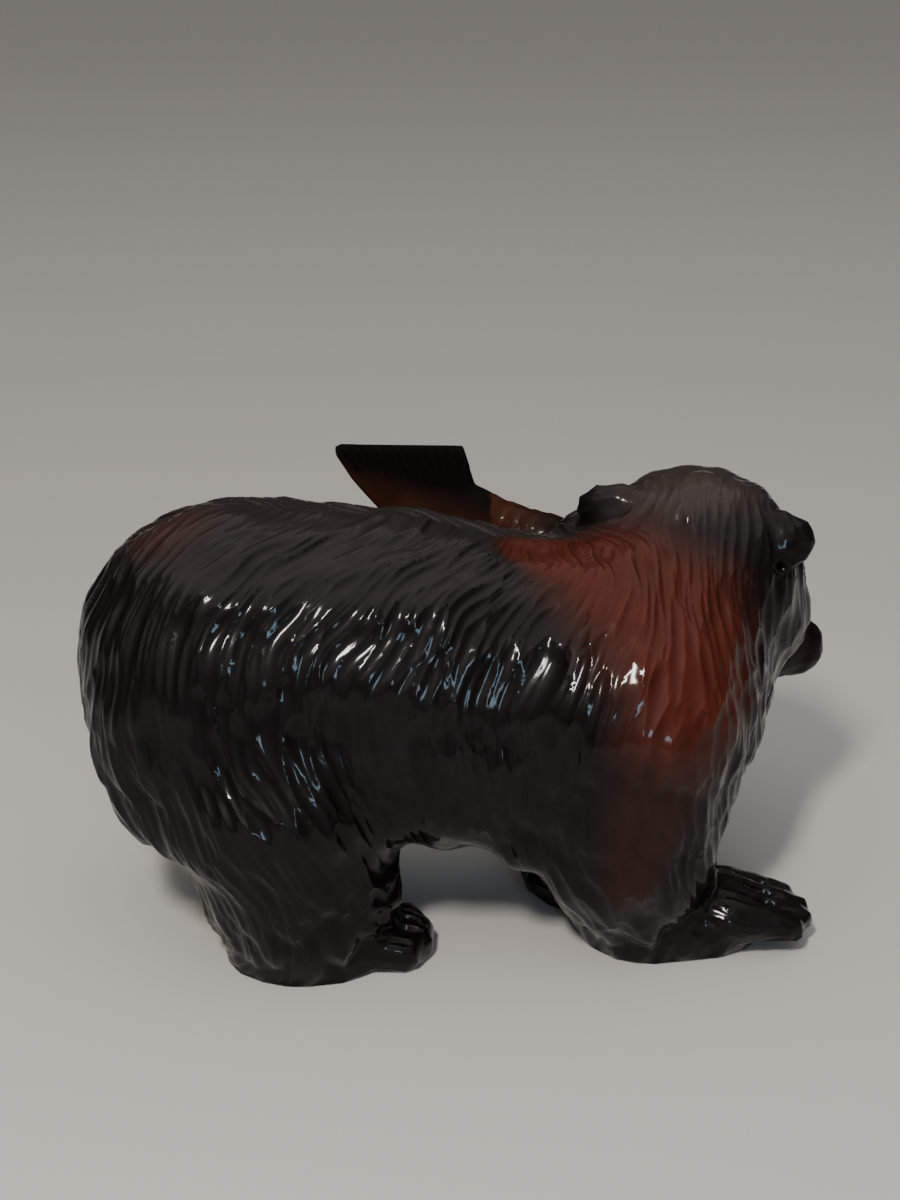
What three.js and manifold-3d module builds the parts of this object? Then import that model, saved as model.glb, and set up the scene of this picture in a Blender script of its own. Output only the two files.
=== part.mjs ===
// Walking bear with a salmon across its mouth, carved from one block of wood.
// Millimetres. +X is forward, +Y the bear's left, +Z up. The soles stand at z = 0.
import * as THREE from "three";
import { triTable } from "three/addons/objects/MarchingCubes.js";
import { mergeVertices } from "three/addons/utils/BufferGeometryUtils.js";
import Module from "manifold-3d";

// Sizes in millimetres. All but the first are shares of LENGTH, so the figure keeps its proportions.
const LENGTH = 300; // rump to the farthest reach of the salmon's head
const BODY_LENGTH = 0.474 * LENGTH; // middle of the shoulders to middle of the rump
const TRUNK_HALF_WIDTH = 0.194 * LENGTH; // flank to middle line at the belly
const HEAD_WIDTH = 0.274 * LENGTH; // skull across, without the ears
const EAR_RADIUS = 0.048 * LENGTH; // round of each ear
const FISH_DEPTH = 0.121 * LENGTH; // back to belly of the salmon at its thickest
const FISH_OUT = 0.2065 * LENGTH; // middle line of the bear to that of the salmon's back
const FIN_THICKNESS = 0.0207 * LENGTH; // tail fin
const FIN_RAY_PITCH = 0.0147 * LENGTH; // between two cuts of the tail fin's edge
const LOCK_LENGTH = 0.127 * LENGTH; // one lock of fur, root to tip
const LOCK_WIDTH = 0.0445 * LENGTH; // one lock, across
const LOCK_RELIEF = 0.0105 * LENGTH; // height of a lock over the cut beside it
const FACETS = 8400; // triangles left before the knife cuts

// Which way the head looks: turned to the bear's left and bowed.
const HEAD_AT = [97, 30, 138];
const HEAD_TURN = 76;
const HEAD_BOW = 20;

// The forms below are written for a figure 310 units long; this is one unit in millimetres.
const unit = LENGTH / 310;
const GRID = 2.4; // spacing of the samples, in units
const blockSamples = 4; // a whole number: samples along each side of a block

// Smallest of two distances, rounded over the reach k where they meet.
function soften(a, b, k) {
  const h = Math.max(k - Math.abs(a - b), 0) / k;
  return Math.min(a, b) - (h * h * k) / 4;
}

// An egg: distance to an ellipsoid whose own axes are given as three unit vectors.
function egg([cx, cy, cz], [ra, rb, rc], axes = WORLD) {
  const [a, b, c] = axes;
  return (x, y, z) => {
    const dx = x - cx;
    const dy = y - cy;
    const dz = z - cz;
    const u = (dx * a.x + dy * a.y + dz * a.z) / ra;
    const v = (dx * b.x + dy * b.y + dz * b.z) / rb;
    const w = (dx * c.x + dy * c.y + dz * c.z) / rc;
    const far = Math.sqrt(u * u + v * v + w * w);
    const slope = Math.sqrt((u / ra) ** 2 + (v / rb) ** 2 + (w / rc) ** 2);
    return slope < 1e-9 ? -Math.min(ra, rb, rc) : (far * (far - 1)) / slope;
  };
}

// A limb: straight from point a to point b, its radius running from ra to rb.
// Flat above 1 squeezes it across Y.
function limb([ax, ay, az], ra, [bx, by, bz], rb, flat = 1) {
  const ex = bx - ax;
  const ey = (by - ay) * flat;
  const ez = bz - az;
  const length2 = ex * ex + ey * ey + ez * ez;
  return (x, y, z) => {
    const dx = x - ax;
    const dy = (y - ay) * flat;
    const dz = z - az;
    const t = Math.min(1, Math.max(0, (dx * ex + dy * ey + dz * ez) / length2));
    const px = dx - t * ex;
    const py = dy - t * ey;
    const pz = dz - t * ez;
    return Math.sqrt(px * px + py * py + pz * pz) - ra - t * (rb - ra);
  };
}

const WORLD = [new THREE.Vector3(1, 0, 0), new THREE.Vector3(0, 1, 0), new THREE.Vector3(0, 0, 1)];

// The head's own directions: forward, to its right, and up.
const turn = THREE.MathUtils.degToRad(HEAD_TURN);
const bow = THREE.MathUtils.degToRad(HEAD_BOW);
const ahead = new THREE.Vector3(
  Math.cos(turn) * Math.cos(bow),
  Math.sin(turn) * Math.cos(bow),
  -Math.sin(bow),
);
const right = new THREE.Vector3(Math.sin(turn), -Math.cos(turn), 0);
const above = new THREE.Vector3().crossVectors(right, ahead);
const HEAD = [ahead, right, above];

// A place on the head, from its middle: so far ahead, to the right and above.
function onHead(f, r, u) {
  return new THREE.Vector3(...HEAD_AT)
    .addScaledVector(ahead, f)
    .addScaledVector(right, r)
    .addScaledVector(above, u)
    .toArray();
}

const wide = TRUNK_HALF_WIDTH / unit / 60;
const skull = HEAD_WIDTH / unit / 85;
const thick = FISH_DEPTH / unit / 37.5;
const ear = EAR_RADIUS / unit;
const body = BODY_LENGTH / unit / 147;
const fishY = FISH_OUT / unit;
const finThickness = FIN_THICKNESS / unit;
const rayPitch = FIN_RAY_PITCH / unit;

// Where the hindquarters stand along X, from where they stand with the body at its first length.
const hind = (x) => x + 147 * (1 - body);

// Forms covered in fur, each with the reach over which it melts into those before it.
const furred = [
  [20, egg([hind(-85), 2, 112], [59.5, 58 * wide, 60])], // rump
  [24, egg([60 - 86 * body, 2, 111], [86 * body, 60 * wide, 58])], // belly and back
  [20, egg([60, 0, 101], [60, 60 * wide, 55])], // shoulders
  [16, egg([4, -26, 82], [58, 33 * wide, 37])], // low belly, near side
  [16, egg([4, 28, 82], [58, 32 * wide, 37])], // low belly, far side
  [16, limb([70, 2, 110], 49, [92, 22, 128], 40)], // neck
  [12, egg([89, 4, 84], [31, 42, 42])], // chest
  [12, egg([102, 26, 94], [28, 30, 32])], // throat
  [14, egg([hind(-86), -32, 86], [48, 28, 48])], // near thigh
  [12, limb([hind(-65), -34, 64], 43, [hind(-56), -33, 24], 32)], // near shank
  [12, egg([hind(-58), -33, 28], [37, 30, 30])], // near hock
  [14, egg([hind(-92), 34, 82], [48, 29, 52])], // far thigh
  [12, limb([hind(-86), 34, 58], 36, [hind(-80), 30, 22], 29)], // far shank
  [14, limb([68, -30, 100], 40, [68, -28, 48], 34)], // near upper foreleg
  [10, limb([68, -27, 46], 34, [77, -22, 15], 26)], // near forearm
  [12, limb([60, 34, 95], 38, [60, 28, 40], 30)], // far upper foreleg
  [10, limb([60, 28, 40], 30, [64, 24, 16], 25)], // far forearm
  [6, egg([28, -40, 52], [12, 14, 12])], // tuft at the near elbow
  [10, egg(onHead(0, 0, 0), [42, 43 * skull, 40], HEAD)], // skull
  [10, egg(onHead(14, 25 * skull, -18), [28, 21, 26], HEAD)], // right cheek
  [10, egg(onHead(14, -27 * skull, -14), [28, 22, 26], HEAD)], // left cheek
  [8, egg(onHead(-4, -40 * skull, 2), [20, 18, 20], HEAD)], // ruff below the left ear
  [8, limb(onHead(10, 0, -30), 24, onHead(38, 0, -36), 14)], // under the jaw
];

// Smooth forms without fur.
const bare = [
  [8, limb(onHead(22, 0, -2), 26, onHead(64, 0, -9), 16)], // muzzle
  [4, egg(onHead(78, 0, -2), [7, 9, 6.5], HEAD)], // nose
  [5, limb(onHead(30, 0, -34), 14, onHead(66, 0, -40), 8)], // lower jaw
  [4, egg(onHead(34, 16, 8), [9, 7, 6], HEAD)], // right brow
  [4, egg(onHead(34, -16, 8), [9, 7, 6], HEAD)], // left brow
  [9, egg([hind(-56), -36, 5], [33, 25, 17])], // near hind foot
  [9, egg([hind(-70), 30, 8], [33, 22, 17])], // far hind foot
  [9, egg([88, -23, 10], [40, 22, 20])], // near forefoot
  [9, egg([66, 12, 9], [37, 26, 17])], // far forefoot
];

// Toes: four on each foot, from the foot's middle forward, spread across it and tapered to the tip.
function toes([x, y, z], reach, spread, radius, taper) {
  for (let i = 0; i < 4; i++) {
    const side = (i - 1.5) / 1.5;
    const from = [x, y + side * spread, z];
    const to = [x + reach - 5 * side * side, y + side * spread * 1.12, z * 0.7];
    bare.push([3.5, limb(from, radius, to, radius * taper)]);
  }
}
toes([hind(-33), -34, 9], 20, 10, 9.5, 0.85);
toes([hind(-50), 28, 12], 12, 11, 9, 0.8);
toes([108, -24, 16], 31, 11, 10, 0.55);
toes([88, 20, 14], 18, 11, 9, 0.6);

// The salmon's middle line, root of the tail to snout, with its half depth at each place.
const fishLine = [
  [-14, fishY + 1, 147, 9],
  [12, fishY + 1, 147, 10.5],
  [39, fishY - 2, 134, 14],
  [75, fishY, 115, 18],
  [108, fishY + 7, 99, 19],
  [134, fishY + 14, 86, 19],
  [150, fishY + 20, 80, 14],
];
const crisp = []; // forms that stand off sharply: the salmon and the ears
for (let i = 0; i + 1 < fishLine.length; i++) {
  const [ax, ay, az, ra] = fishLine[i];
  const [bx, by, bz, rb] = fishLine[i + 1];
  crisp.push([4, limb([ax, ay, az], ra * thick, [bx, by, bz], rb * thick, 1.35)]);
}

// Tail fin: a sheared fan standing up from the tail root, given by its height and its half width there.
const fin = { low: 136, high: 176, x: -4, lean: -18, y: fishY, out: 6, root: 9, spread: 18 };
function finCenter(height) {
  return [fin.x + fin.lean * height, fin.y + fin.out * height, fin.low + (fin.high - fin.low) * height];
}
function finHalfWidth(height) {
  const h = Math.min(1, Math.max(0, height));
  return fin.root + fin.spread * (1 - (1 - h) ** 2);
}
function tailFin(x, y, z) {
  const height = (z - fin.low) / (fin.high - fin.low);
  const [cx, cy] = finCenter(height);
  const across = Math.abs(x - cx) - finHalfWidth(height);
  const through = Math.abs(y - cy) - finThickness / 2;
  return Math.max(across * 0.85, through, z - fin.high, fin.low - z);
}
crisp.push([5, tailFin]);
crisp.push([3, limb([70, fishY + 2, 132], 5, [50, fishY + 2, 140], 4, 0.9)]); // back fin

// Ears: round flaps set far back on the skull, hollowed in front.
const earPlaces = [onHead(-17, 32 * skull, 13), onHead(-24, -30 * skull, 20)];
const earFronts = [onHead(-8, 36 * skull, 13), onHead(-17, -34 * skull, 21)];
crisp.push([1, egg(earPlaces[0], [9, ear * 1.12, ear * 0.8], HEAD)]);
crisp.push([1, egg(earPlaces[1], [7, ear * 1.1, ear * 0.7], HEAD)]);

// Hollows, rounded over the reach k.
const hollows = earFronts.map((at) => [3, egg(at, [6, ear * 0.62, ear * 0.45], HEAD)]);

function join(list, x, y, z) {
  let d = 1e6;
  for (const [k, form] of list) d = soften(d, form(x, y, z), k);
  return d;
}

const everyForm = [furred, bare, crisp];

// Distance from the whole figure, and how much of the place is fur.
function figure(x, y, z, [coats, skins, sharps] = everyForm) {
  const coat = join(coats, x, y, z);
  const skin = join(skins, x, y, z);
  const sharp = join(sharps, x, y, z);
  let d = soften(soften(coat, skin, 5), sharp, 2);
  for (const [k, form] of hollows) d = -soften(-d, form(x, y, z), k);
  const fur = Math.min(1, Math.max(0, (Math.min(skin, sharp) - coat) / 5));
  return [d, fur];
}

// Which way the fur lies: at a few places of the near side, and mirrored on the far side.
const combed = [
  [[-60, -20, 170], [-0.8, -0.3, -0.2]], // off the parting of the back
  [[10, -20, 165], [-0.9, -0.3, -0.2]],
  [[-60, -55, 130], [-0.45, 0, -0.9]], // high on the flank
  [[0, -55, 130], [-0.55, 0, -0.85]],
  [[-50, -62, 95], [0.15, 0, -1]], // low on the flank
  [[10, -62, 90], [0, 0, -1]],
  [[0, -45, 55], [0.3, 0.4, -0.9]],
  [[-140, -10, 120], [0.25, 0, -1]], // rump
  [[-110, -10, 165], [-0.9, -0.2, -0.4]],
  [[-125, -40, 75], [0.5, 0, -0.85]], // thigh
  [[-70, -60, 60], [0.5, 0, -0.85]],
  [[-60, -55, 25], [0.1, 0, -1]],
  [[70, -60, 70], [0.35, 0, -0.95]], // foreleg
  [[100, -35, 60], [0.45, 0, -0.9]],
  [[80, -50, 25], [0.4, 0, -0.9]],
  [[125, 5, 80], [0.2, 0, -1]], // throat
  [[60, -4, 158], [-0.95, -0.3, -0.1]], // fanned over the neck
  [[78, -12, 160], [-0.75, -0.6, -0.3]],
  [[95, -12, 160], [-0.25, -0.8, -0.55]],
  [[112, -12, 152], [0.15, -0.6, -0.8]],
  [[60, -42, 140], [-0.6, -0.2, -0.75]],
  [[95, -45, 135], [0, -0.1, -1]],
];

function lie(x, y, z, out) {
  let sx = 0;
  let sy = 0;
  let sz = 0;
  for (const [[px, py, pz], [dx, dy, dz]] of combed) {
    for (const side of [1, -1]) {
      const w = 1 / ((x - px) ** 2 + (y - side * py) ** 2 + (z - pz) ** 2 + 60) ** 2;
      sx += w * dx;
      sy += w * dy * side;
      sz += w * dz;
    }
  }
  out.set(sx, sy, sz);
  // On the skull the fur runs back from the face.
  const [hx, hy, hz] = HEAD_AT;
  const away = ((x - hx) ** 2 + (y - hy - 10) ** 2 + (z - hz - 14) ** 2) / 38 ** 2;
  const near = Math.exp(-away * away);
  return out.normalize().lerp(ahead.clone().negate(), near);
}

// Samples the figure on a grid and returns its surface, cell by cell. Blocks of cells far from the
// surface are passed over, and each other block asks only the forms that come near it.
function surface() {
  const low = [-165, -85, -20];
  const high = [190, 120, 196];
  const [nx, ny, nz] = low.map((v, i) => blockSamples * Math.ceil((high[i] - v) / GRID / blockSamples) + 1);
  const value = new Float32Array(nx * ny * nz).fill(50);
  const place = (i, j, k) => [low[0] + i * GRID, low[1] + j * GRID, low[2] + k * GRID];
  const reach = blockSamples * GRID * 1.1;
  for (let k0 = 0; k0 < nz; k0 += blockSamples)
    for (let j0 = 0; j0 < ny; j0 += blockSamples)
      for (let i0 = 0; i0 < nx; i0 += blockSamples) {
        const middle = place(i0 + blockSamples / 2, j0 + blockSamples / 2, k0 + blockSamples / 2);
        const [depth] = figure(...middle);
        const local = everyForm.map((list) => {
          const away = list.map(([, form]) => form(...middle));
          const least = Math.min(...away);
          return list.filter(([k], n) => away[n] < least + 2 * reach + k);
        });
        for (let k = k0; k < Math.min(nz, k0 + blockSamples); k++)
          for (let j = j0; j < Math.min(ny, j0 + blockSamples); j++)
            for (let i = i0; i < Math.min(nx, i0 + blockSamples); i++) {
              const id = i + nx * (j + ny * k);
              value[id] = Math.abs(depth) > reach ? Math.sign(depth) * 50 : figure(...place(i, j, k), local)[0];
            }
      }
  // A grid square whose corners change side all the way round could be joined in two ways: fill it.
  for (let again = true; again; ) {
    again = false;
    for (let id = 0; id < value.length - nx * ny - nx - 1; id++)
      for (const [s, t] of [[1, nx], [1, nx * ny], [nx, nx * ny]]) {
        const inside = [id, id + s, id + s + t, id + t].map((q) => value[q] < 0);
        if (inside[0] !== inside[2] || inside[1] !== inside[3] || inside[0] === inside[1]) continue;
        for (const q of inside[0] ? [id + s, id + t] : [id, id + s + t]) value[q] = -0.1;
        again = true;
      }
  }
  const corner = [0, 1, 1 + nx, nx, nx * ny, 1 + nx * ny, 1 + nx + nx * ny, nx + nx * ny];
  const ends = [[0, 1], [1, 2], [2, 3], [3, 0], [4, 5], [5, 6], [6, 7], [7, 4], [0, 4], [1, 5], [2, 6], [3, 7]];
  const points = [];
  const faces = [];
  const made = new Map();
  // The crossing on the edge between grid samples p and q, made once.
  const crossing = (p, q) => {
    const key = Math.min(p, q) * 4 + [1, nx, nx * ny].indexOf(Math.abs(p - q));
    if (!made.has(key)) {
      const t = Math.min(0.97, Math.max(0.03, value[p] / (value[p] - value[q])));
      const at = (id) => place(id % nx, Math.floor(id / nx) % ny, Math.floor(id / nx / ny));
      const end = at(q);
      made.set(key, points.length);
      points.push(at(p).map((v, n) => v + t * (end[n] - v)));
    }
    return made.get(key);
  };
  for (let k = 0; k + 1 < nz; k++)
    for (let j = 0; j + 1 < ny; j++)
      for (let i = 0; i + 1 < nx; i++) {
        const base = i + nx * (j + ny * k);
        let sign = 0;
        for (let n = 0; n < 8; n++) if (value[base + corner[n]] < 0) sign |= 1 << n;
        for (let n = sign * 16; sign && triTable[n] >= 0; n += 3) {
          const edge = [triTable[n + 2], triTable[n + 1], triTable[n]];
          faces.push(edge.map((e) => crossing(base + corner[ends[e][0]], base + corner[ends[e][1]])));
        }
      }
  return { points, faces };
}

// Lays locks of fur over the surface: each a tongue that rises from its root and ends in a point.
function carveLocks({ points, faces }) {
  const normal = points.map(() => new THREE.Vector3());
  const p = points.map((q) => new THREE.Vector3(...q));
  const ab = new THREE.Vector3();
  const ac = new THREE.Vector3();
  for (const [a, b, c] of faces) {
    ab.subVectors(p[b], p[a]).cross(ac.subVectors(p[c], p[a]));
    normal[a].add(ab);
    normal[b].add(ab);
    normal[c].add(ab);
  }
  const fur = points.map((q) => figure(...q)[1]);
  const length = LOCK_LENGTH / unit;
  const width = LOCK_WIDTH / unit;
  const relief = LOCK_RELIEF / unit;
  const cell = length;
  const bins = new Map();
  const binOf = (v, a = 0, b = 0, c = 0) =>
    (Math.floor(v.x / cell) + a + 50) * 10000 +
    (Math.floor(v.y / cell) + b + 50) * 100 +
    (Math.floor(v.z / cell) + c + 50);
  const near = (v) => {
    const found = [];
    for (let a = -1; a <= 1; a++)
      for (let b = -1; b <= 1; b++)
        for (let c = -1; c <= 1; c++) found.push(...(bins.get(binOf(v, a, b, c)) ?? []));
    return found;
  };
  // Seats are tried in a scattered order and kept when no lock already covers the place.
  const gap = new THREE.Vector3();
  const stride = 7919;
  for (let n = 0; n < points.length; n++) {
    const id = (n * stride) % points.length;
    if (fur[id] < 0.3) continue;
    const out = normal[id].clone().normalize();
    const along = lie(...points[id], new THREE.Vector3());
    along.addScaledVector(out, -along.dot(out)).normalize();
    const across = new THREE.Vector3().crossVectors(out, along);
    let free = true;
    for (const other of near(p[id])) {
      gap.subVectors(p[id], other.seat);
      const u = gap.dot(other.along) / (length * 0.62);
      const v = gap.dot(other.across) / (width * 0.72);
      if (u * u + v * v < 1 && gap.lengthSq() < length * length) {
        free = false;
        break;
      }
    }
    if (!free) continue;
    const lock = { seat: p[id].clone(), along, across };
    const key = binOf(p[id]);
    if (!bins.has(key)) bins.set(key, []);
    bins.get(key).push(lock);
  }
  return points.map((q, id) => {
    let rise = 0;
    for (const { seat, along, across } of near(p[id])) {
      gap.subVectors(p[id], seat);
      const u = gap.dot(along) / length + 0.5;
      if (u <= 0 || u >= 1) continue;
      const half = width * 0.62 * Math.min(1, 2.6 * (1 - u)) * Math.min(1, 0.55 + 1.5 * u);
      const v = gap.dot(across) / half;
      if (Math.abs(v) >= 1) continue;
      const ramp = Math.min(1, 1.9 * u) * Math.min(1, 5 * (1 - u));
      rise = Math.max(rise, ramp * (1 - v * v));
    }
    const out = normal[id].clone().normalize();
    return out.multiplyScalar(fur[id] * relief * (rise - 0.5)).add(p[id]).toArray();
  });
}

// Thins the mesh to the wanted number of faces: the edge that changes the shape least goes first.
function thin(points, faces, wanted) {
  const pos = points.map((q) => q.slice());
  const face = faces.map((f) => f.slice());
  const around = pos.map(() => []);
  const quadric = pos.map(() => new Float64Array(10));
  const plane = (a, b, c) => {
    const ux = b[0] - a[0];
    const uy = b[1] - a[1];
    const uz = b[2] - a[2];
    const vx = c[0] - a[0];
    const vy = c[1] - a[1];
    const vz = c[2] - a[2];
    return [uy * vz - uz * vy, uz * vx - ux * vz, ux * vy - uy * vx];
  };
  face.forEach(([a, b, c], id) => {
    for (const v of [a, b, c]) around[v].push(id);
    const n = plane(pos[a], pos[b], pos[c]);
    const area = Math.hypot(...n);
    if (area < 1e-12) return;
    const [x, y, z] = n.map((t) => t / area);
    const d = -(x * pos[a][0] + y * pos[a][1] + z * pos[a][2]);
    const terms = [x * x, x * y, x * z, x * d, y * y, y * z, y * d, z * z, z * d, d * d];
    for (const v of [a, b, c]) terms.forEach((t, i) => (quadric[v][i] += t * area));
  });
  const price = (q, [x, y, z]) =>
    q[0] * x * x + 2 * q[1] * x * y + 2 * q[2] * x * z + 2 * q[3] * x + q[4] * y * y +
    2 * q[5] * y * z + 2 * q[6] * y + q[7] * z * z + 2 * q[8] * z + q[9];
  // Where the two ends of an edge should meet: the least of their summed quadrics.
  const meeting = (a, b) => {
    const q = quadric[a].map((t, i) => t + quadric[b][i]);
    const middle = pos[a].map((t, i) => (t + pos[b][i]) / 2);
    const soft = 1e-3 * (q[0] + q[4] + q[7]);
    const m = new THREE.Matrix3().set(
      q[0] + soft, q[1], q[2], q[1], q[4] + soft, q[5], q[2], q[5], q[7] + soft,
    );
    const goal = new THREE.Vector3(
      soft * middle[0] - q[3], soft * middle[1] - q[6], soft * middle[2] - q[8],
    );
    const best = goal.applyMatrix3(m.invert()).toArray();
    const gap = Math.hypot(...best.map((t, i) => t - middle[i]));
    const reach = Math.hypot(...pos[a].map((t, i) => t - pos[b][i]));
    const spot = gap < 2 * reach ? best : middle;
    return [price(q, spot) + 1e-4 * reach * reach, spot];
  };
  const age = new Int32Array(pos.length);
  const heap = [];
  const before = (i, j) => heap[i].cost < heap[j].cost;
  const swap = (i, j) => ([heap[i], heap[j]] = [heap[j], heap[i]]);
  const offer = (a, b, tries = 0) => {
    const [cost, spot] = meeting(a, b);
    heap.push({ cost: cost * 4 ** tries, spot, a, b, tries, stamp: age[a] + age[b] });
    let i = heap.length - 1;
    while (i > 0 && before(i, (i - 1) >> 1)) {
      swap(i, (i - 1) >> 1);
      i = (i - 1) >> 1;
    }
  };
  const take = () => {
    const top = heap[0];
    const last = heap.pop();
    if (heap.length) {
      heap[0] = last;
      let i = 0;
      for (;;) {
        let least = i;
        if (2 * i + 1 < heap.length && before(2 * i + 1, least)) least = 2 * i + 1;
        if (2 * i + 2 < heap.length && before(2 * i + 2, least)) least = 2 * i + 2;
        if (least === i) break;
        swap(i, least);
        i = least;
      }
    }
    return top;
  };
  const ring = (v) => new Set(around[v].flatMap((id) => face[id]).filter((w) => w !== v));
  // How far a face is from a needle: its doubled area over the square of its longest side.
  const fatness = (cross, [a, b, c]) => {
    const side = (p, q) => (p[0] - q[0]) ** 2 + (p[1] - q[1]) ** 2 + (p[2] - q[2]) ** 2;
    return Math.hypot(...cross) / Math.max(side(a, b), side(b, c), side(c, a));
  };
  // A face may not turn over or become a needle when its corner v moves to the spot.
  const keeps = (v, gone, spot) =>
    around[v].every((id) => {
      const corners = face[id];
      if (corners.includes(gone)) return true;
      const old = corners.map((w) => pos[w]);
      const moved = corners.map((w) => (w === v ? spot : pos[w]));
      const was = plane(...old);
      const now = plane(...moved);
      if (fatness(now, moved) < Math.min(0.02, 0.5 * fatness(was, old))) return false;
      const size = Math.hypot(...now) * Math.hypot(...was);
      return was[0] * now[0] + was[1] * now[1] + was[2] * now[2] > 0.3 * size;
    });
  for (let v = 0; v < pos.length; v++) for (const w of ring(v)) if (v < w) offer(v, w);
  let left = face.length;
  while (left > wanted && heap.length) {
    const { a, b, spot, tries, stamp } = take();
    if (age[a] < 0 || age[b] < 0 || stamp !== age[a] + age[b]) continue;
    const ringB = ring(b);
    if (!ringB.has(a)) continue;
    const shared = [...ring(a)].filter((w) => ringB.has(w));
    if (shared.length !== 2) continue;
    if (!keeps(a, b, spot) || !keeps(b, a, spot)) {
      if (tries < 6) offer(a, b, tries + 1);
      continue;
    }
    pos[a] = spot;
    quadric[a] = quadric[a].map((t, i) => t + quadric[b][i]);
    for (const id of around[b]) {
      const corners = face[id];
      if (corners.includes(a)) {
        for (const w of corners) if (w !== b) around[w] = around[w].filter((other) => other !== id);
        face[id] = null;
        left--;
      } else {
        corners[corners.indexOf(b)] = a;
        around[a].push(id);
      }
    }
    around[b] = [];
    age[b] = -1e9;
    age[a]++;
    for (const w of ring(a)) offer(a, w);
  }
  return { pos, face: face.filter(Boolean) };
}

const wasm = await Module();
wasm.setup();

function solid(vertProperties, triVerts) {
  return new wasm.Manifold(
    new wasm.Mesh({
      numProp: 3,
      vertProperties: new Float32Array(vertProperties),
      triVerts: new Uint32Array(triVerts),
    }),
  );
}

// A knife cut: a long eight-sided chip, deepest in its middle and running out at both ends.
function chip(at, along, out, length, width, depth) {
  const x = new THREE.Vector3(...along).normalize();
  const z = new THREE.Vector3(...out);
  z.addScaledVector(x, -z.dot(x)).normalize();
  const y = new THREE.Vector3().crossVectors(z, x);
  const frame = new THREE.Matrix4().makeBasis(
    x.multiplyScalar(length / 2),
    y.multiplyScalar(width / 2),
    z.multiplyScalar(depth),
  );
  frame.setPosition(...at);
  const corners = [[1, 0, 0], [0, 1, 0], [-1, 0, 0], [0, -1, 0], [0, 0, 1], [0, 0, -1]];
  const list = corners.flatMap((c) => new THREE.Vector3(...c).applyMatrix4(frame).toArray());
  const sides = [0, 1, 4, 1, 2, 4, 2, 3, 4, 3, 0, 4, 1, 0, 5, 2, 1, 5, 3, 2, 5, 0, 3, 5];
  return solid(list, sides);
}

const cuts = [];

// Rays of the tail fin, cut into both faces and out through the edge.
const rays = Math.round((2 * finHalfWidth(1)) / rayPitch);
for (let i = 0; i < rays; i++) {
  const share = (2 * (i + 0.5)) / rays - 1;
  const [rootX, rootY, rootZ] = finCenter(0.15);
  const [edgeX, edgeY, edgeZ] = finCenter(1);
  const foot = [rootX + share * finHalfWidth(0.15), rootY, rootZ];
  const head = [edgeX + share * finHalfWidth(1), edgeY, edgeZ];
  const along = head.map((v, n) => v - foot[n]);
  for (const side of [1, -1]) {
    const at = [head[0], head[1] + (side * finThickness) / 2, head[2] + 1];
    const reach = 1.7 * Math.hypot(...along);
    cuts.push(chip(at, along, [0, side, 0], reach, rayPitch * 0.85, 1.5));
  }
}

// Cuts between the toes of one foot.
function partToes(x, y, z, length, spread) {
  for (const i of [-1, 0, 1])
    cuts.push(chip([x, y + (i * spread * 2) / 3, z], [1, 0, -0.25], [-0.2, 0, 1], length, 4, 7));
}
partToes(hind(-15), -34, 16, 34, 10);
partToes(hind(-36), 28, 19, 26, 11);
partToes(124, -24, 21, 44, 11);
partToes(98, 20, 20, 34, 11);

// The salmon's gill cover and mouth, and the bear's nostrils.
cuts.push(chip([128, fishY + 25, 90], [0.35, 0, 1], [0.3, 1, 0], 30, 4, 5));
cuts.push(chip([156, fishY + 28, 80], [-1, -0.3, 0.2], [0.4, 1, 0], 24, 3, 5));
for (const side of [1, -1])
  cuts.push(chip(onHead(83, 4 * side, -2), above.toArray(), ahead.toArray(), 8, 4, 5));

// A cut under the root of each ear.
for (const [x, y, z] of earPlaces) {
  const out = ahead.clone().negate().toArray();
  const at = new THREE.Vector3(x, y, z).addScaledVector(ahead, -6).addScaledVector(above, -0.72 * ear);
  cuts.push(chip(at.toArray(), right.toArray(), out, 2.3 * ear, 5, 5));
}

// The bear's eyes, one almond cut on each side of the muzzle's root.
for (const side of [1, -1]) {
  const out = ahead.clone().addScaledVector(right, 0.9 * side).toArray();
  const along = right.clone().multiplyScalar(-side).addScaledVector(ahead, 0.9).toArray();
  cuts.push(chip(onHead(41, 17 * side, 4), along, out, 13, 7, 4));
}

const rough = surface();
const carved = carveLocks(rough);
const { pos, face } = thin(carved, rough.faces, FACETS);
let bear = solid(pos.flat(), face.flat());
const slab = new THREE.BoxGeometry(900, 900, 100).translate(0, 0, -50);
slab.deleteAttribute("normal");
slab.deleteAttribute("uv");
const ground = mergeVertices(slab);
for (const cut of cuts) bear = bear.subtract(cut);
bear = bear.subtract(solid(ground.attributes.position.array, ground.index.array));
const mesh = bear.getMesh();

const geometry = new THREE.BufferGeometry();
const vertices = new Float32Array(mesh.numVert * 3);
for (let i = 0; i < mesh.numVert; i++)
  for (let n = 0; n < 3; n++) vertices[3 * i + n] = mesh.vertProperties[i * mesh.numProp + n];
geometry.setAttribute("position", new THREE.BufferAttribute(vertices, 3));
geometry.setIndex(new THREE.BufferAttribute(new Uint32Array(mesh.triVerts), 1));
geometry.scale(unit, unit, unit);
geometry.computeBoundingBox();
const { min, max } = geometry.boundingBox;
geometry.translate(-(min.x + max.x) / 2, -(min.y + max.y) / 2, -min.z);

const wood = new THREE.MeshStandardMaterial({ color: 0x2c1d1a, roughness: 0.32, metalness: 0 });
const figureMesh = new THREE.Mesh(geometry, wood);
figureMesh.name = "carved_bear_with_salmon";

const group = new THREE.Group();
group.add(figureMesh);
export default group;
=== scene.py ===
"""Dresses the carved bear with salmon: gouge strokes, dark stain, a red-brown neck and gloss lacquer."""

import math

import bpy
import numpy as np
from mathutils import Matrix, Vector
from mathutils.bvhtree import BVHTree


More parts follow.
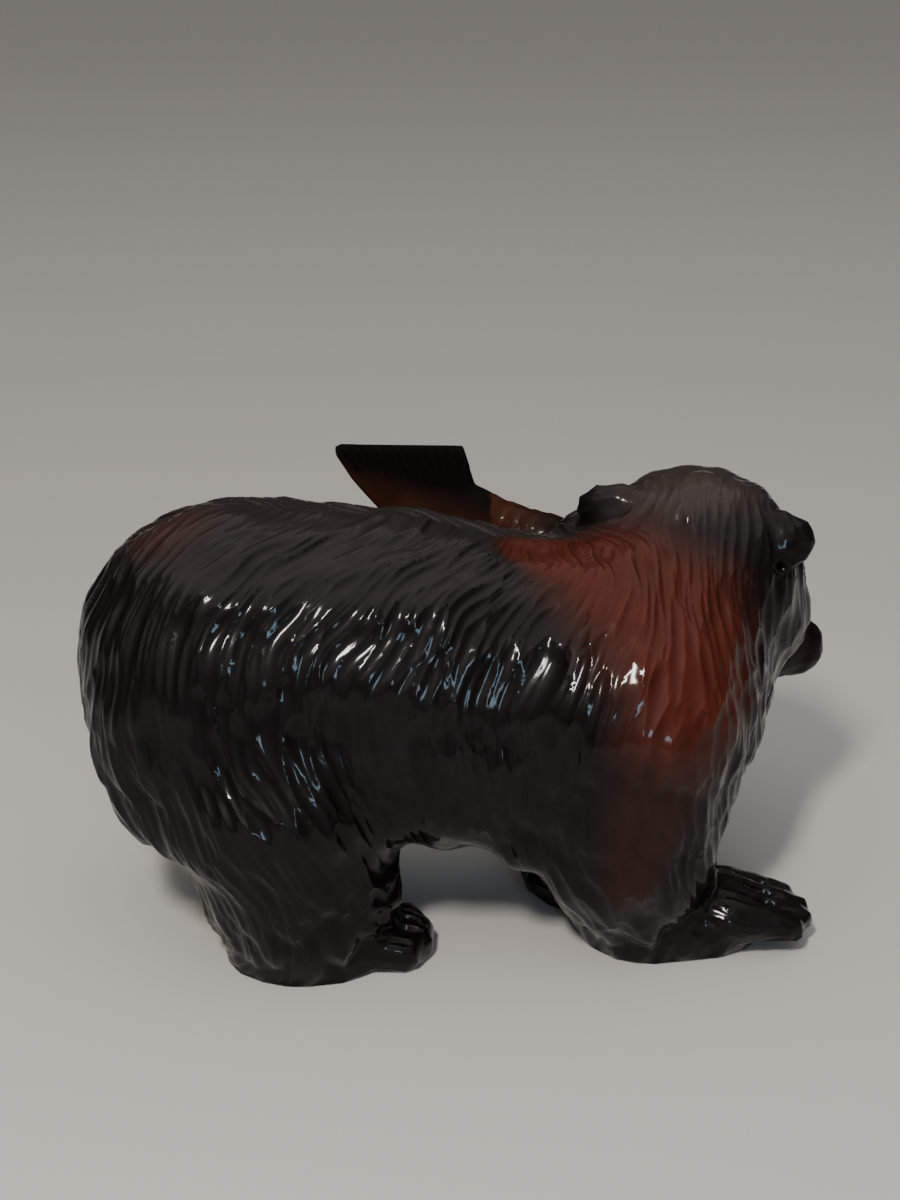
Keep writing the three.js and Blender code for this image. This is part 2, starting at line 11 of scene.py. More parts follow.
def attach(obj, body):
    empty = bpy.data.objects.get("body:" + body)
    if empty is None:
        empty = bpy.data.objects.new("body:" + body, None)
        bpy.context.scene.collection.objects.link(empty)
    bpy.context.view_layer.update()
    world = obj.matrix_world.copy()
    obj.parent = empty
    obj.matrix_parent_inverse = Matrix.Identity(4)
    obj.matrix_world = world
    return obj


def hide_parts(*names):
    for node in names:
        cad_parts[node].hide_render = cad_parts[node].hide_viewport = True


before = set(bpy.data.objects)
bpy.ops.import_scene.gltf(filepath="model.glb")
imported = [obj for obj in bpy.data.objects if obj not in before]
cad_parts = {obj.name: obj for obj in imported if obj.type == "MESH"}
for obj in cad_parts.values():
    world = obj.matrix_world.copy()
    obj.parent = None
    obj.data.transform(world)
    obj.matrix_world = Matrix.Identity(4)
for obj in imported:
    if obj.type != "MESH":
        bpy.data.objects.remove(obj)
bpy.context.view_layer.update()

# Camera
# The figure is seen from its right side, about 22 degrees above and about 0.7 m away. It was drawn in 310ths
# of its length, from a point on the bear's middle line that is ORIGIN in the row's metres.
UNIT = 0.3 / 310
ORIGIN = np.array([-0.00875, -0.01422, 0.0])


def to_row(point):
    """A place of the drawing in the row's metres: ORIGIN + UNIT * point."""
    return ORIGIN + UNIT * np.asarray(point, float)


camera_data = bpy.data.cameras.new("camera")
camera_data.sensor_fit = "AUTO"
camera_data.sensor_width = 36.0
camera_data.lens = 54.0
camera_data.clip_start = 0.05
camera = bpy.data.objects.new("camera", camera_data)
camera.location = to_row([0.0, -641.5, 393.0])
camera.rotation_euler = (math.radians(90.0 - 21.9), 0.0, 0.0)
bpy.context.collection.objects.link(camera)
bpy.context.scene.camera = camera

# Carved bear
# One block of wood. A gouge left long tapered strokes that follow the fur: off the parting of the back, down
# the flanks and fanned over the neck. The salmon, the muzzle and the right cheek are smoother. Gloss lacquer
# lies over a dark stain; a sheen on the crown and back and shade in the hollows are painted into its colour.


def smooth(x, low, high):
    """0 below low, 1 above high, and 3t^2 - 2t^3 between them."""
    t = np.clip((x - low) / (high - low), 0.0, 1.0)
    return t * t * (3.0 - 2.0 * t)


def unit(v):
    """Each row of v over its own length."""
    return v / np.maximum(np.linalg.norm(v, axis=-1, keepdims=True), 1e-9)


def mesh_arrays(mesh):
    """Vertex positions and vertex normals of a mesh as arrays."""
    co = np.empty(len(mesh.vertices) * 3)
    mesh.vertices.foreach_get("co", co)
    normal = np.empty(len(mesh.vertices) * 3)
    mesh.vertex_normals.foreach_get("vector", normal)
    return co.reshape(-1, 3), normal.reshape(-1, 3)


def edge_array(mesh):
    """The two vertex numbers of each edge."""
    ends = np.empty(len(mesh.edges) * 2, np.int32)
    mesh.edges.foreach_get("vertices", ends)
    return ends.reshape(-1, 2)


def around(values, ends):
    """Mean of each vertex's neighbours: for every column, sum over edges, over the number of edges."""
    count = len(values)
    degree = np.bincount(ends.ravel(), minlength=count)
    total = np.empty_like(values)
    for c in range(values.shape[1]):
        column = values[:, c]
        total[:, c] = np.bincount(ends[:, 0], column[ends[:, 1]], count) + np.bincount(
            ends[:, 1], column[ends[:, 0]], count
        )
    return total / np.maximum(degree, 1)[:, None]


def relax(points, ends, amount, times, back):
    """Evens a mesh out without shrinking it much.

    As many times as asked, each point moves toward its neighbours' mean by 0.62 of its own amount, and then
    away from it by the share back of that amount.
    """
    for _ in range(times):
        points = points + (amount * 0.62)[:, None] * (around(points, ends) - points)
        points = points - (amount * back)[:, None] * (around(points, ends) - points)
    return points


def drawn(places):
    """Places in the row's metres as places of the drawing: (place - ORIGIN) / UNIT."""
    return (places - ORIGIN) / UNIT


def set_places(mesh, places):
    """Moves a mesh's vertices to places of the drawing."""
    mesh.vertices.foreach_set("co", (places * UNIT + ORIGIN).ravel())
    mesh.update()


def with_modifier(mesh, kind, **settings):
    """A new mesh: the given one after one modifier of that kind."""
    holder = bpy.data.objects.new("holder", mesh)
    bpy.context.collection.objects.link(holder)
    modifier = holder.modifiers.new("step", kind)
    for name, value in settings.items():
        setattr(modifier, name, value)
    bpy.context.view_layer.update()
    graph = bpy.context.evaluated_depsgraph_get()
    made = bpy.data.meshes.new_from_object(holder.evaluated_get(graph))
    bpy.data.objects.remove(holder)
    return made


def segment(points, a, b):
    """Distance of each point from the straight line a to b, and how far along it lies, 0 to 1."""
    a = np.asarray(a, float)
    b = np.asarray(b, float)
    t = np.clip((points - a) @ (b - a) / ((b - a) @ (b - a)), 0.0, 1.0)
    return np.linalg.norm(points - a - t[:, None] * (b - a), axis=1), t


# The head's own directions, as it was drawn: turned 76 degrees to the left and bowed 20.
TURN = math.radians(76.0)
BOW = math.radians(20.0)
HEAD_AT = np.array([97.0, 30.0, 138.0])
AHEAD = np.array([math.cos(TURN) * math.cos(BOW), math.sin(TURN) * math.cos(BOW), -math.sin(BOW)])
RIGHT = np.array([math.sin(TURN), -math.cos(TURN), 0.0])
ABOVE = np.cross(RIGHT, AHEAD)


def on_head(ahead, right, above):
    """A place on the head, so far ahead of its middle, to its right and above it."""
    return HEAD_AT + ahead * AHEAD + right * RIGHT + above * ABOVE


HEAD = np.array([AHEAD, RIGHT, ABOVE])
EARS = [(on_head(-17, 32, 13), [9.0, 16.6, 11.9]), (on_head(-24, -30, 20), [7.0, 16.4, 10.4])]

# The salmon's middle line, tail root to snout, with its half depth at each place.
FISH = np.array(
    [
        [-14, 65, 147, 9],
        [12, 65, 147, 10.5],
        [39, 62, 134, 14],
        [75, 64, 115, 18],
        [108, 71, 99, 19],
        [134, 78, 86, 19],
        [150, 84, 80, 14],
    ],
    float,
)


def fish_place(points):
    """How far each point is from the salmon's middle line, over the half depth there, and how far along it.

    The salmon is 1.35 times as deep as it is thick, so distances across it count that much more.
    """
    squeeze = np.array([1.0, 1.35, 1.0])
    best = np.full(len(points), 1e9)
    along = np.zeros(len(points))
    start = 0.0
    for a, b in zip(FISH[:-1], FISH[1:]):
        d, t = segment(points * squeeze, a[:3] * squeeze, b[:3] * squeeze)
        share = d / (a[3] + t * (b[3] - a[3]))
        length = np.linalg.norm(b[:3] - a[:3])
        nearer = share < best
        best = np.where(nearer, share, best)
        along = np.where(nearer, start + t * length, along)
        start += length
    return best, along


def fin_share(points):
    """1 on the salmon's tail fin and its root."""
    fin = smooth(points[:, 2], 130.0, 136.0) * smooth(points[:, 1], 46.0, 52.0)
    return fin * (1.0 - smooth(points[:, 0], 14.0, 20.0))


def bare_share(points):
    """1 on smooth wood (salmon, tail fin, muzzle), less on the ears and the right cheek, and 0 on fur."""
    fish = 1.0 - smooth(fish_place(points)[0], 1.05, 1.25)
    fin = fin_share(points)
    snout = 1.0 - smooth(segment(points, on_head(44, 0, -6), on_head(84, 0, -6))[0], 19.0, 25.0)
    jaw = 1.0 - smooth(segment(points, on_head(52, 0, -38), on_head(70, 0, -40))[0], 11.0, 14.0)
    ears = np.zeros(len(points))
    for place, reach in EARS:
        away = np.linalg.norm((points - place) @ HEAD.T / reach, axis=1)
        ears = np.maximum(ears, 0.55 - 0.55 * smooth(away, 1.02, 1.3))
    cheek = 0.8 * (1.0 - smooth(np.linalg.norm(points - on_head(24, 34, -14), axis=1), 15.0, 27.0))
    return np.clip(np.maximum.reduce([fish, fin, snout, jaw, ears, cheek]), 0.0, 1.0)


# Which way the fur lies at places of the right side: x, y, z and the direction's x, y, z.
LIE = np.array(
    [
        [-108, -12, 165, -0.7, -0.6, -0.3],
        [-41, -12, 170, -0.8, -0.6, 0.0],
        [5, -25, 162, -0.75, -0.5, -0.4],
        [-60, 20, 170, -0.8, 0.6, 0.0],
        [0, 22, 164, -0.8, 0.6, 0.0],
        [-70, -40, 155, -0.65, 0.0, -0.76],
        [-32, -50, 137, -0.5, 0.0, -0.87],
        [-6, -50, 144, -0.5, 0.0, -0.87],
        [16, -55, 129, -0.3, 0.0, -0.95],
        [33, -28, 160, -0.75, -0.4, -0.5],
        [-85, -52, 125, 0.0, 0.0, -1.0],
        [-105, -40, 138, -0.05, 0.0, -1.0],
        [-96, -56, 108, 0.35, 0.0, -0.94],
        [-50, -58, 122, -0.12, 0.0, -1.0],
        [57, -58, 120, -0.45, 0.0, -0.9],
        [42, -45, 147, -0.62, 0.0, -0.78],
        [17, -62, 100, -0.22, 0.0, -0.97],
        [34, -60, 77, -0.35, 0.0, -0.93],
        [-13, -62, 88, 0.05, 0.0, -1.0],
        [79, -45, 147, -0.12, 0.0, -1.0],
        [98, -38, 147, 0.08, 0.0, -1.0],
        [93, -52, 112, 0.15, 0.0, -0.98],
        [78, -62, 98, 0.42, 0.0, -0.9],
        [69, -62, 68, 0.55, 0.0, -0.83],
        [68, -58, 35, 0.3, 0.0, -0.95],
        [112, -24, 70, 0.4, 0.0, -0.9],
        [108, -38, 20, 0.9, 0.0, -0.45],
        [-63, -62, 88, 0.55, 0.0, -0.83],
        [-41, -62, 58, 0.42, 0.0, -0.9],
        [-82, -60, 58, 0.6, 0.0, -0.8],
        [-60, -58, 28, 0.1, 0.0, -1.0],
        [-20, -42, 14, 0.9, 0.0, -0.4],
        [-130, -12, 108, 0.15, 0.0, -1.0],
        [-128, -12, 142, -0.25, 0.0, -0.95],
        [-118, -40, 66, 0.4, 0.0, -0.9],
        [0, -35, 48, 0.1, 0.6, -0.8],
        [122, 0, 82, 0.15, 0.0, -1.0],
        [28, -5, 158, -0.8, -0.5, -0.2],
        [43, -10, 156, -0.85, -0.35, -0.35],
        [57, -15, 152, -0.6, -0.4, -0.65],
        [66, -28, 146, -0.45, -0.35, -0.8],
        [82, -18, 154, -0.2, -0.45, -0.85],
        [92, -12, 157, 0.0, -0.6, -0.8],
        [107, -15, 147, 0.1, -0.35, -0.93],
        [100, -35, 139, 0.1, -0.2, -0.98],
        [55, -50, 132, -0.7, -0.1, -0.7],
        [40, -55, 126, -0.6, 0.0, -0.8],
        [68, -48, 135, -0.4, -0.1, -0.9],
        [85, -45, 138, 0.05, -0.1, -1.0],
        [95, -45, 125, 0.2, 0.0, -0.98],
        [78, -55, 118, 0.25, 0.0, -0.97],
    ]
)


def lie(points):
    """The direction of the fur at each point.

    The sum of the places' directions, each over (d^2 + 50)^2 with d its distance, and the same mirrored to
    the left side. On the skull it turns to run back from the face, and on the salmon toward its tail.
    """
    total = np.zeros_like(points)
    for side in (1.0, -1.0):
        mirror = np.array([1.0, side, 1.0])
        for row in LIE:
            away = ((points - row[:3] * mirror) ** 2).sum(1)
            total += (row[3:] * mirror) / (away + 50.0)[:, None] ** 2
    total = unit(total)
    on_fish = (1.0 - smooth(fish_place(points)[0], 1.1, 1.25))[:, None]
    total = total * (1.0 - on_fish) + unit(FISH[0, :3] - FISH[-1, :3]) * on_fish
    skull = np.exp(-((((points - HEAD_AT - [0.0, 10.0, 14.0]) ** 2).sum(1) / 38.0**2) ** 2))[:, None]
    return total * (1.0 - skull) - AHEAD * skull


ROUNDS = 900  # of conjugate gradients


def potential(points, ends, slope, trust):
    """The number u on each vertex whose steps along the edges best match a wanted slope.

    It makes the sum over the edges of trust * (u_j - u_i - slope . (p_j - p_i))^2 least, by conjugate
    gradients.
    """
    count = len(points)
    i, j = ends[:, 0], ends[:, 1]
    trust = 0.5 * (trust[i] + trust[j])
    wanted = trust * (0.5 * (slope[i] + slope[j]) * (points[j] - points[i])).sum(1)

    def gather(steps):
        return np.bincount(j, steps, count) - np.bincount(i, steps, count)

    u = np.zeros(count)
    left = gather(wanted)
    way = left.copy()
    size = left @ left
    for _ in range(ROUNDS):
        pull = gather(trust * (way[j] - way[i]))
        stride = size / max(way @ pull, 1e-12)
        u += stride * way
        left -= stride * pull
        fresh = left @ left
        way = left + (fresh / size) * way
        size = fresh
    return u


class Sum:
    """A number socket of a node tree, so that shader maths reads as arithmetic."""

    def __init__(self, tree, socket):
        self.tree = tree
        self.socket = socket

    def _math(self, kind, *others):
        made = self.tree.nodes.new("ShaderNodeMath")
        made.operation = kind
        for slot_number, value in enumerate((self, *others)):
            if isinstance(value, Sum):
                self.tree.links.new(value.socket, made.inputs[slot_number])
            else:
                made.inputs[slot_number].default_value = value
        return Sum(self.tree, made.outputs[0])

    def __add__(self, other):
        return self._math("ADD", other)

    def __sub__(self, other):
        return self._math("SUBTRACT", other)

    def __rsub__(self, other):
        return (self * -1.0) + other

    def __mul__(self, other):
        return self._math("MULTIPLY", other)

    def __truediv__(self, other):
        return self._math("DIVIDE", other)

    def __pow__(self, other):
        return self._math("POWER", other)

    def floor(self):
        return self._math("FLOOR")

    def sin(self):
        return self._math("SINE")

    def maximum(self, other):
        return self._math("MAXIMUM", other)

    def minimum(self, other):
        return self._math("MINIMUM", other)

    __rmul__ = __mul__
    __radd__ = __add__


def part_of(x):
    """x less the whole number below it."""
    return x - (x.floor() if isinstance(x, Sum) else np.floor(x))


def chance(x):
    """A number from 0 to 1 that looks random, the same for the same x."""
    return part_of((x.sin() if isinstance(x, Sum) else np.sin(x)) * 43.7)


def greater(x, y):
    """The greater of a number and another, for arrays and for sockets."""
    return x.maximum(y) if isinstance(x, Sum) else np.maximum(x, y)


def lesser(x, y):
    """The lesser of a number and another, for arrays and for sockets."""
    return x.minimum(y) if isinstance(x, Sum) else np.minimum(x, y)


def strokes(across, along, pitch, length):
    """How deep the gouge went, 0 to about 1, where across and along are the places across and along the fur.

    Rows of strokes lie one pitch apart, each row shifted along by chance. In a stroke u runs from 0 at its
    root to 1 at its tip. Its strength is e = 1.2 * min(1, 4u)^0.6 * (1 - u)^0.4, times 0.7 to 1.1 by chance.
    Its half width is w = 0.3 + 0.62e pitches. At b pitches from its middle, which lies up to 0.15 off by
    chance, it is e * (1 - (b / w)^2) deep. Where two strokes meet, the deeper one shows.
    """
    place = across * (1.0 / pitch)
    deep = 0.0
    for step in (0.0, 1.0):
        row = place - part_of(place) + step
        b = place - row
        run = along * (1.0 / length) + 7.0 * chance(row * 12.99)
        u = part_of(run)
        luck = chance(row * 5.13 + (run - u) * 7.77)
        b = b + 0.3 * luck - 0.15
        e = 1.2 * lesser(u * 4.0, 1.0) ** 0.6 * (1.0 - u) ** 0.4 * (0.7 + 0.4 * luck)
        w = 0.3 + 0.62 * e
        b = b / w
        deep = greater(e * (1.0 - b * b), deep)
    return deep


def waver(points, reach, seed):
    """A slow wave over space, about -1 to 1.

    It is a third of the sum of six sines in random directions, each about one reach from crest to crest.
    """
    rng = np.random.default_rng(seed)
    turns = unit(rng.normal(size=(6, 3))) * rng.uniform(0.7, 1.4, (6, 1)) * 2.0 * math.pi / reach
    return np.sin(points @ turns.T + rng.uniform(0.0, 6.0, 6)).mean(1) * 2.0


# The gouge's work, in units of the drawing.
PITCH = 4.2  # from one row of long strokes to the next
STROKE = 34.0  # length of a long stroke
DEPTH = 1.45  # of a long stroke
RIDGE = 0.5  # how far the wood left between strokes stands out
SCALE_PITCH = 5.0  # the salmon's scales
SCALE_LENGTH = 7.0
SCALE_DEPTH = 0.6
EAR_CUTS = 9  # cuts round the rim of each ear
EAR_CUT_DEPTH = 0.6
FARTHEST = 3.5  # that evening out may move a point
ROW_WAVER = 1.3  # of the rows of strokes, sideways
END_WAVER = 4.0  # of the strokes' ends, lengthwise

# The meshes' spacing in metres, and the triangles kept.
VOXEL = 0.00064
COARSE_VOXEL = 0.0016
TRIANGLES = 196000

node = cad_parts["carved_bear_with_salmon"]
joined = with_modifier(node.data.copy(), "WELD", merge_threshold=1e-6)
carved = with_modifier(joined, "REMESH", mode="VOXEL", voxel_size=VOXEL, use_smooth_shade=True)
coarse = with_modifier(joined, "REMESH", mode="VOXEL", voxel_size=COARSE_VOXEL, use_smooth_shade=True)


def fur_share(points):
    """1 on fur, 0 on smooth wood and at the soles."""
    return (1.0 - bare_share(points)) * smooth(points[:, 2], 0.2, 1.6)


# The solid's broad locks sink to gentle swells: a coarse copy is evened out, and the fur is drawn toward it.
co, _ = mesh_arrays(coarse)
swell = drawn(co)
ends = edge_array(coarse)
swell = relax(swell, ends, fur_share(swell), times=110, back=0.5)
set_places(coarse, swell)

# The fur's own map, worked out on the coarse copy: how far along the fur a place is, and how far across it.
# Across is mirrored at the parting of the back, left of y = 3, so that strokes part there as on a feather.
# The flanks count for most, so what can't be matched everywhere is bent on the back, the belly and the feet.
_, out = mesh_arrays(coarse)
combed = lie(swell)
combed = unit(combed - (combed * out).sum(1, keepdims=True) * out)
on_head_side = np.linalg.norm(swell - HEAD_AT, axis=1) < 56.0
mirrored = np.where((swell[:, 1] > 3.0) & ~on_head_side, -1.0, 1.0)
flank = 0.06 + 0.94 * smooth(np.abs(out[:, 1]), 0.15, 0.6) * smooth(swell[:, 2], 8.0, 30.0)
across_coarse = potential(swell, ends, np.cross(out, combed) * mirrored[:, None], flank)
along_coarse = potential(swell, ends, combed, flank)
triangles = with_modifier(coarse, "TRIANGULATE")
corners = np.array([f.vertices[:] for f in triangles.polygons])
nearest = BVHTree.FromPolygons([v.co[:] for v in triangles.vertices], corners.tolist())


def fur_strokes(across, along):
    """Long strokes, and between them shallower ones half as wide and 0.6 as long."""
    between = 0.62 * strokes(across, along, 0.5 * PITCH, 0.6 * STROKE)
    return greater(strokes(across, along, PITCH, STROKE), between)


def on_swell(places):
    """For places in metres: the nearest place on the coarse copy, and how far across and along the fur."""
    found = [nearest.find_nearest(Vector(place)) for place in places]
    goal = np.array([hit[0] for hit in found])
    corner = corners[[hit[2] for hit in found]]
    a, b, c = (swell[corner[:, k]] * UNIT + ORIGIN for k in range(3))
    face = np.cross(b - a, c - a)
    area = np.maximum((face * face).sum(1), 1e-20)
    share_b = (np.cross(goal - a, c - a) * face).sum(1) / area
    share_c = (np.cross(b - a, goal - a) * face).sum(1) / area
    shares = np.column_stack([1.0 - share_b - share_c, share_b, share_c])
    across = (across_coarse[corner] * shares).sum(1)
    along = (along_coarse[corner] * shares).sum(1)
    across += ROW_WAVER * waver(drawn(places), reach=34.0, seed=3)
    along += END_WAVER * waver(drawn(places), reach=50.0, seed=4)
    return goal, across, along


co, _ = mesh_arrays(carved)
ends = edge_array(carved)
goal, across, along = on_swell(co)
q = drawn(co)
# Behind the thighs, down the chest and near the ground the locks stand out along the edge, so they stay.
ragged = np.maximum(smooth(-q[:, 0], 92.0, 112.0), smooth(q[:, 0], 96.0, 112.0))
ragged *= 1.0 - smooth(q[:, 2], 92.0, 118.0)
pull = (goal - co) / UNIT
pull *= np.minimum(1.0, FARTHEST / np.maximum(np.linalg.norm(pull, axis=1), 1e-9))[:, None]
evened = 0.95 * fur_share(q) * (1.0 - 0.75 * ragged) * smooth(q[:, 2], 12.0, 34.0)
q = q + evened[:, None] * pull
share, fish_along = fish_place(q)
scaled = (1.0 - smooth(share, 1.0, 1.2)) * (1.0 - fin_share(q))
loose = smooth(q[:, 2], 0.2, 1.6) * (1.0 - 0.7 * bare_share(q) * (1.0 - scaled))
q = relax(q, ends, loose, times=5, back=0.3)
set_places(carved, q)
_, normals = mesh_arrays(carved)

# Strokes on the fur, shallower on the crown and under the belly, then cuts round the ears, then scales.
fur = smooth(fur_share(q), 0.1, 0.7)
shallow = 1.0 - 0.55 * np.exp(-(((q - HEAD_AT - [0.0, 0.0, 20.0]) ** 2).sum(1) / 34.0**2) ** 2)
shallow *= 1.0 - 0.75 * smooth(-normals[:, 2], 0.25, 0.75)
rise = (RIDGE - DEPTH * fur_strokes(across, along)) * fur * shallow
for place, reach in EARS:
    spot = (q - place) @ HEAD.T / reach
    rim = smooth(np.linalg.norm(spot[:, 1:], axis=1), 0.3, 0.8)
    rim *= 1.0 - smooth(np.linalg.norm(spot, axis=1), 1.15, 1.4)
    rise -= EAR_CUT_DEPTH * rim * np.abs(np.sin(0.5 * EAR_CUTS * np.arctan2(spot[:, 2], spot[:, 1])))
on_scales = scaled * (1.0 - smooth(fish_along, 135.0, 155.0))
rise -= SCALE_DEPTH * strokes(across, along, SCALE_PITCH, SCALE_LENGTH) * on_scales
q = q + normals * rise[:, None]
set_places(carved, q)
ratio = min(1.0, TRIANGLES / (2 * len(carved.polygons)))
carved = with_modifier(carved, "DECIMATE", ratio=ratio, use_collapse_triangulate=True)
bear = bpy.data.objects.new("carved_bear", carved)
bpy.context.collection.objects.link(bear)
carved.shade_smooth()

# Where the stain, the painted sheen and the painted shade lie, as numbers on the vertices. Hollow tells how
# far a vertex lies under its neighbours; hollows are painted darker as shade.
co, normals = mesh_arrays(carved)
q = drawn(co)
ends = edge_array(carved)
hollow = ((around(q, ends) - q) * normals).sum(1)
hollow = around(hollow[:, None], ends)[:, 0]


def attribute(mesh, name, values):
    """Keeps one number for each vertex on the mesh."""
    layer = mesh.attributes.new(name, "FLOAT", "POINT")
    layer.data.foreach_set("value", np.asarray(values, np.float32))


# The red-brown stain follows a line from the nape over the shoulder into the foreleg, where it is weaker.
# Each row is x, y, z and reach. A small patch lies on the rump.
RED = np.array(
    [
        [28, -5, 158, 12],
        [62, -17, 153, 30],
        [84, -38, 140, 38],
        [88, -50, 124, 32],
        [82, -58, 106, 26],
        [72, -62, 70, 17],
        [66, -60, 45, 12],
    ],
    float,
)
red = np.zeros(len(q))
low = 0.25 + 0.75 * smooth(q[:, 2], 75.0, 125.0)
for a, b in zip(RED[:-1], RED[1:]):
    d, t = segment(q, a[:3], b[:3])
    red = np.maximum(red, 1.0 - smooth(d / (a[3] + t * (b[3] - a[3])), 0.35, 1.3))
rump = 1.0 - smooth(np.linalg.norm((q - [-106.0, -6.0, 165.0]) / [24.0, 20.0, 12.0], axis=1), 0.2, 1.2)
bare = bare_share(q)
share, along = fish_place(q)
# The salmon is orange-brown toward its tail, and so is the fin up to its dark edge.
fish = (1.0 - smooth(share, 1.1, 1.3)) * (1.0 - 0.85 * smooth(along, 32.0, 60.0))
dark_edge = smooth(q[:, 2] + 0.3 * q[:, 0], 146.0, 160.0)
fish = np.where(fin_share(q) > 0.5, 0.55 * (1.0 - dark_edge), fish)
# Painted sheen: the crown and the upward faces of the back are lightened a greyish brown, standing in for
# the lacquer's reflection of the room.
crown_sheen = np.exp(-((((q - HEAD_AT - [-2.0, -6.0, 36.0]) / [34.0, 26.0, 18.0]) ** 2).sum(1) ** 2))
top = 0.45 * smooth(normals[:, 2], 0.62, 0.98) * smooth(q[:, 2], 120.0, 150.0)
top = top * (1.0 - red) * (1.0 - bare)
_, across, along = on_swell(co)
attribute(carved, "across", across)
attribute(carved, "along", along)
attribute(carved, "fur", smooth(fur_share(q), 0.1, 0.7))
attribute(carved, "bare", bare)
attribute(carved, "crown_sheen", np.maximum(crown_sheen, top))
attribute(carved, "hollow", np.clip(hollow * 2.0 + 0.5, 0.0, 1.0))
attribute(carved, "red", np.maximum(red * low * (1.0 - bare), 0.3 * rump))
attribute(carved, "fish", fish)
attribute(carved, "fin", fin_share(q))


def add_node(tree, kind, settings=(), values=(), links=()):
    """A node of that kind with its settings, its sockets' numbers, and links from Sum or plain sockets."""
    made = tree.nodes.new(kind)
    for name, value in dict(settings).items():
        setattr(made, name, value)
    for name, value in dict(values).items():
        made.inputs[name].default_value = value
    for name, source in dict(links).items():
        tree.links.new(getattr(source, "socket", source), made.inputs[name])
    return made


# The stain's colours, linear, with a painted grey-brown sheen and a painted shade black among them.
BLACK = (0.0022, 0.0015, 0.0018)
BROWN_BLACK = (0.0050, 0.0030, 0.0028)
PAINTED_SHEEN_GREY = (0.050, 0.038, 0.034)
RED_BROWN = (0.080, 0.0135, 0.0065)
ORANGE_BROWN = (0.055, 0.016, 0.006)
PAINTED_SHADE_BLACK = (0.0015, 0.0010, 0.0010)

lacquer = bpy.data.materials.new("lacquered_wood")
lacquer.use_nodes = True
tree = lacquer.node_tree
shader = tree.nodes["Principled BSDF"]


def number(name):
    """The piece's own number of that name."""
    return Sum(tree, add_node(tree, "ShaderNodeAttribute", {"attribute_name": name}).outputs["Fac"])


def blend(share, first, second):
    """The first colour where share is 0 and the second where it is 1. Either may be a socket."""
    mix = tree.nodes.new("ShaderNodeMix")
    mix.data_type = "RGBA"
    tree.links.new(share.socket, mix.inputs["Factor"])
    for slot_name, colour in (("A", first), ("B", second)):
        target = [s for s in mix.inputs if s.name == slot_name and s.type == "RGBA"][0]
        if isinstance(colour, tuple):
            target.default_value = (*colour, 1.0)
        else:
            tree.links.new(colour, target)
    return [s for s in mix.outputs if s.type == "RGBA"][0]


position = add_node(tree, "ShaderNodeTexCoord").outputs["Object"]
patches = add_node(
    tree,
    "ShaderNodeTexNoise",
    values={"Scale": 38.0, "Detail": 3.0, "Roughness": 0.6},
    links={"Vector": position},
)
grain = add_node(
    tree,
    "ShaderNodeTexNoise",
    values={"Scale": 420.0, "Detail": 2.0, "Roughness": 0.5},
    links={"Vector": position},
)
patch = Sum(tree, patches.outputs["Fac"])
stain = blend(patch, BLACK, BROWN_BLACK)
# Painted sheen: the crown and the upward faces of the back are lightened grey-brown, as the lacquer's
# reflection of the room.
stain = blend(number("crown_sheen") * 0.9, stain, PAINTED_SHEEN_GREY)
stain = blend(number("red") * (patch * 0.8 + 0.62), stain, RED_BROWN)
stain = blend(number("fish") * (patch * 0.8 + 0.5), stain, ORANGE_BROWN)
# Painted shade: the hollows are darkened toward black.
in_hollow = number("hollow")
stain = blend(in_hollow * 0.7, stain, PAINTED_SHADE_BLACK)
# The lacquer shines less in hollows and on smooth wood, and not at all on the fin.
coat = in_hollow * -0.75 - 0.7 * number("bare") - number("fin") + 1.2
rough = in_hollow * 0.25 + patch * 0.2 + 0.45 * number("fin") + 0.28
tree.links.new(stain, shader.inputs["Base Color"])
tree.links.new(coat.socket, shader.inputs["Coat Weight"])
tree.links.new(rough.socket, shader.inputs["Roughness"])
shader.inputs["Specular IOR Level"].default_value = 0.06
shader.inputs["IOR"].default_value = 1.5
shader.inputs["Coat Roughness"].default_value = 0.11
shader.inputs["Coat IOR"].default_value = 1.26
# The same strokes once more as bump, so that their ridges stay crisp, with a fine grain over them.
relief = 1.0 - fur_strokes(number("across"), number("along"))
relief = relief * number("fur") + 0.06 * Sum(tree, grain.outputs["Fac"])
heights = {"Strength": 0.9, "Distance": 0.0012}
bump = add_node(tree, "ShaderNodeBump", values=heights, links={"Height": relief})
tree.links.new(bump.outputs["Normal"], shader.inputs["Normal"])
carved.materials.clear()
carved.materials.append(lacquer)
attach(bear, "root")
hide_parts("carved_bear_with_salmon")

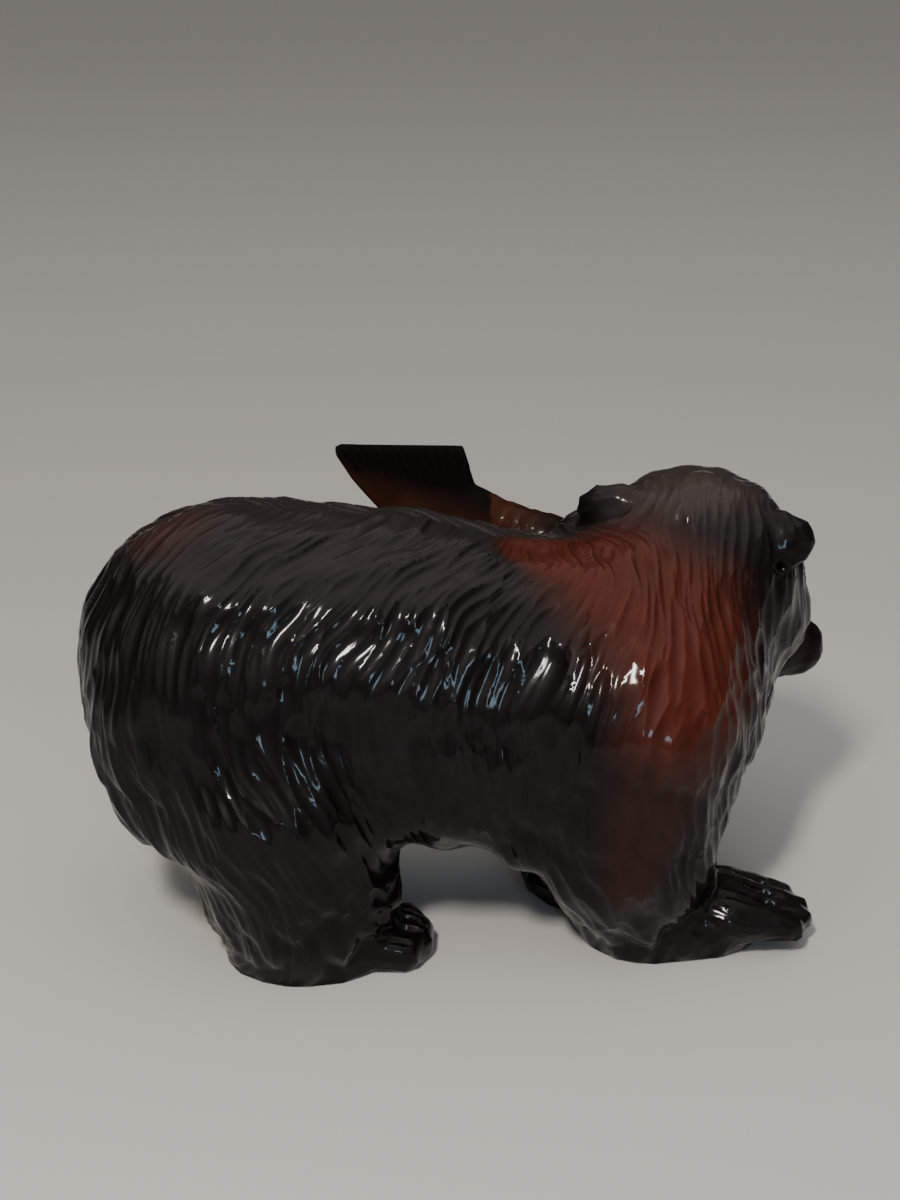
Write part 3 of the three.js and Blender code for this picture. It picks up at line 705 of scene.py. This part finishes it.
# Floor
# A plain pale floor, not part of the figure.
floor_mesh = bpy.data.meshes.new("floor")
floor_mesh.from_pydata([(-6, -6, 0), (6, -6, 0), (6, 6, 0), (-6, 6, 0)], [], [(0, 1, 2, 3)])
floor = bpy.data.objects.new("floor", floor_mesh)
bpy.context.collection.objects.link(floor)
plain = bpy.data.materials.new("floor")
plain.use_nodes = True
plain.node_tree.nodes["Principled BSDF"].inputs["Base Color"].default_value = (0.48, 0.46, 0.44, 1.0)
plain.node_tree.nodes["Principled BSDF"].inputs["Roughness"].default_value = 0.75
floor_mesh.materials.append(plain)

# Light
# A bright room: a pale surround, a large soft light over the figure, and a lamp and a window in front of it.
world = bpy.data.worlds.new("surround")
world.use_nodes = True
sky = world.node_tree
background = sky.nodes["Background"]
background.inputs["Color"].default_value = (1.0, 0.955, 0.91, 1.0)
facing = add_node(
    sky,
    "ShaderNodeVectorMath",
    {"operation": "DOT_PRODUCT"},
    {1: (0.0, -0.35, 0.94)},
    {0: add_node(sky, "ShaderNodeTexCoord").outputs["Generated"]},
)
bright = add_node(
    sky,
    "ShaderNodeMapRange",
    values={"From Min": 0.1, "From Max": 1.0, "To Min": 0.05, "To Max": 0.62},
    links={"Value": facing.outputs["Value"]},
)
sky.links.new(bright.outputs["Result"], background.inputs["Strength"])
bpy.context.scene.world = world


def area_light(name, place, target, width, height, power, colour):
    """A rectangular light at a place, turned to face a target, in metres and watts."""
    data = bpy.data.lights.new(name, "AREA")
    data.shape = "RECTANGLE"
    data.size = width
    data.size_y = height
    data.energy = power
    data.color = colour
    light = bpy.data.objects.new(name, data)
    forward = unit(np.asarray(target, float) - np.asarray(place, float))
    side = unit(np.cross(forward, [0.0, 0.0, 1.0]) if abs(forward[2]) < 0.99 else np.array([1.0, 0.0, 0.0]))
    top = np.cross(side, forward)
    turned = np.eye(4)
    turned[:3] = np.column_stack([side, top, -forward, place])
    light.matrix_world = Matrix(turned.tolist())
    bpy.context.collection.objects.link(light)


area_light("window", (0.40, -1.40, 0.50), (0.0, 0.0, 0.1), 0.16, 0.34, 3.8, (0.54, 0.77, 1.0))
area_light("lamp", (-0.25, -0.85, 1.05), (0.0, 0.0, 0.1), 0.10, 0.20, 16.0, (1.0, 0.92, 0.84))
area_light("fill", (0.0, 0.05, 2.2), (0.0, 0.0, 0.0), 3.2, 3.2, 16.0, (1.0, 0.97, 0.94))
